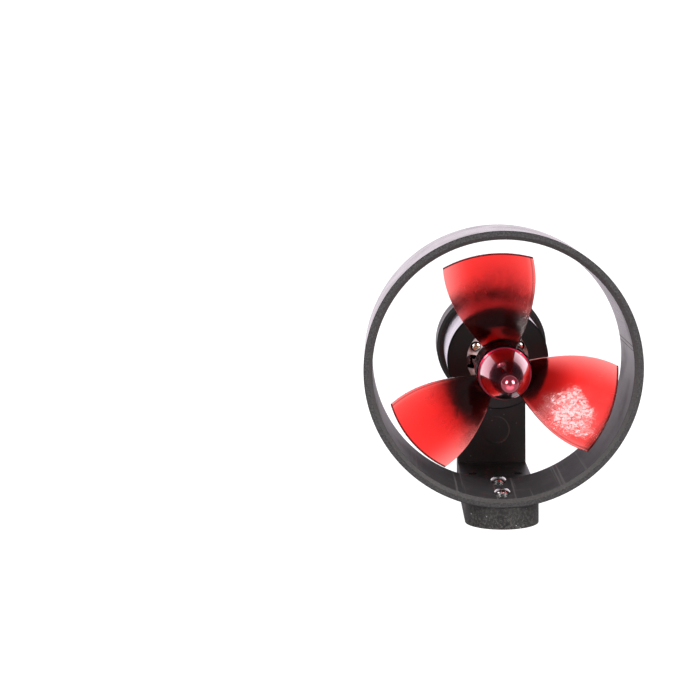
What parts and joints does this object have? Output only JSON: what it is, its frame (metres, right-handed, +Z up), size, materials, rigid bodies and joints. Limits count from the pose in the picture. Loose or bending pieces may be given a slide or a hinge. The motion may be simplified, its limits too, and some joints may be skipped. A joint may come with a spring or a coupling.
{
  "type": "underwater thruster",
  "caption": "Ducted underwater thruster: a red propeller in a black duct ring, driven by a wet motor held behind it by a foot bracket.",
  "frame": {"origin": "midway between the foot's two fixing holes, on the foot's underside", "axes": "+Z up from the foot to the propeller's axis, +Y along that axis from the nut to the motor's back, +X to the right seen from the front"},
  "size_m": [0.075, 0.165, 0.0809],
  "materials": {
    "duct_plastic": "black plastic tube, satin outside, polished bore with axial scratches",
    "bracket_plastic": "black moulded plastic, matt",
    "stainless": "polished stainless",
    "red_clear_plastic": "clear red plastic, scuffed",
    "brass_turned": "turned brass",
    "black_steel": "black oxide",
    "red_anodised": "polished red anodised aluminium",
    "shaft_steel": "ground steel",
    "spring_steel": "oiled spring steel",
    "black_anodised": "matt black anodised aluminium",
    "bright_plate": "turned bright",
    "machined_aluminium": "machined",
    "satin_can": "satin turned aluminium",
    "lamination_steel": "varnished laminations",
    "copper_enamel": "enamelled copper wire",
    "magnet_plating": "nickel plated",
    "bearing_steel": "ground bearing steel",
    "brass_cage": "pressed brass",
    "grommet_rubber": "moulded rubber",
    "red_silicone": "silicone cable skin",
    "yellow_silicone": "silicone cable skin",
    "black_silicone": "silicone cable skin",
    "gold_plug": "gold plated",
    "sleeve_black": "shrink sleeve"
  },
  "bodies": {
    "housing": {"duct_ring": "duct_plastic", "duct_screws": "stainless", "mount_bracket": "bracket_plastic", "motor_screws": "stainless", "front_cover": "black_anodised", "front_plate": "bright_plate", "plate_screws": "stainless", "bearing_housing": "machined_aluminium", "motor_can": "satin_can", "rear_end_cap": "machined_aluminium", "stator_core": "lamination_steel", "stator_coils": "copper_enamel", "front_outer_race": "bearing_steel", "rear_outer_race": "bearing_steel", "lead_grommet": "grommet_rubber", "lead_red": "red_silicone", "plug_red": "gold_plug", "sleeve_red": "sleeve_black", "lead_yellow": "yellow_silicone", "plug_yellow": "gold_plug", "sleeve_yellow": "sleeve_black", "lead_black": "black_silicone", "plug_black": "gold_plug", "sleeve_black": "sleeve_black"},
    "rotor": {"propeller": "red_clear_plastic", "prop_nut": "red_anodised", "prop_washer": "stainless", "drive_dog": "brass_turned", "dog_grub_screw": "black_steel", "motor_shaft": "shaft_steel", "shaft_clip": "spring_steel", "rotor_core": "shaft_steel", "rotor_magnets": "magnet_plating", "front_inner_race": "bearing_steel", "rear_inner_race": "bearing_steel"},
    "front_ball_set": {"front_balls": "bearing_steel", "front_cage": "brass_cage"},
    "rear_ball_set": {"rear_balls": "bearing_steel", "rear_cage": "brass_cage"}
  },
  "joints": [
    {"name": "prop_spin", "type": "hinge", "parent": "housing", "child": "rotor", "pos_m": [0, -0.0343, 0.0434], "axis": [0, 1, 0], "continuous": true},
    {"name": "front_balls_roll", "type": "hinge", "parent": "housing", "child": "front_ball_set", "pos_m": [0, -0.0081, 0.0434], "axis": [0, 1, 0], "continuous": true},
    {"name": "rear_balls_roll", "type": "hinge", "parent": "housing", "child": "rear_ball_set", "pos_m": [0, 0.0193, 0.0434], "axis": [0, 1, 0], "continuous": true}
  ],
  "couplings": [
    {"joint": "front_balls_roll", "follows": "prop_spin", "ratio": 0.41},
    {"joint": "rear_balls_roll", "follows": "prop_spin", "ratio": 0.41}
  ]
}
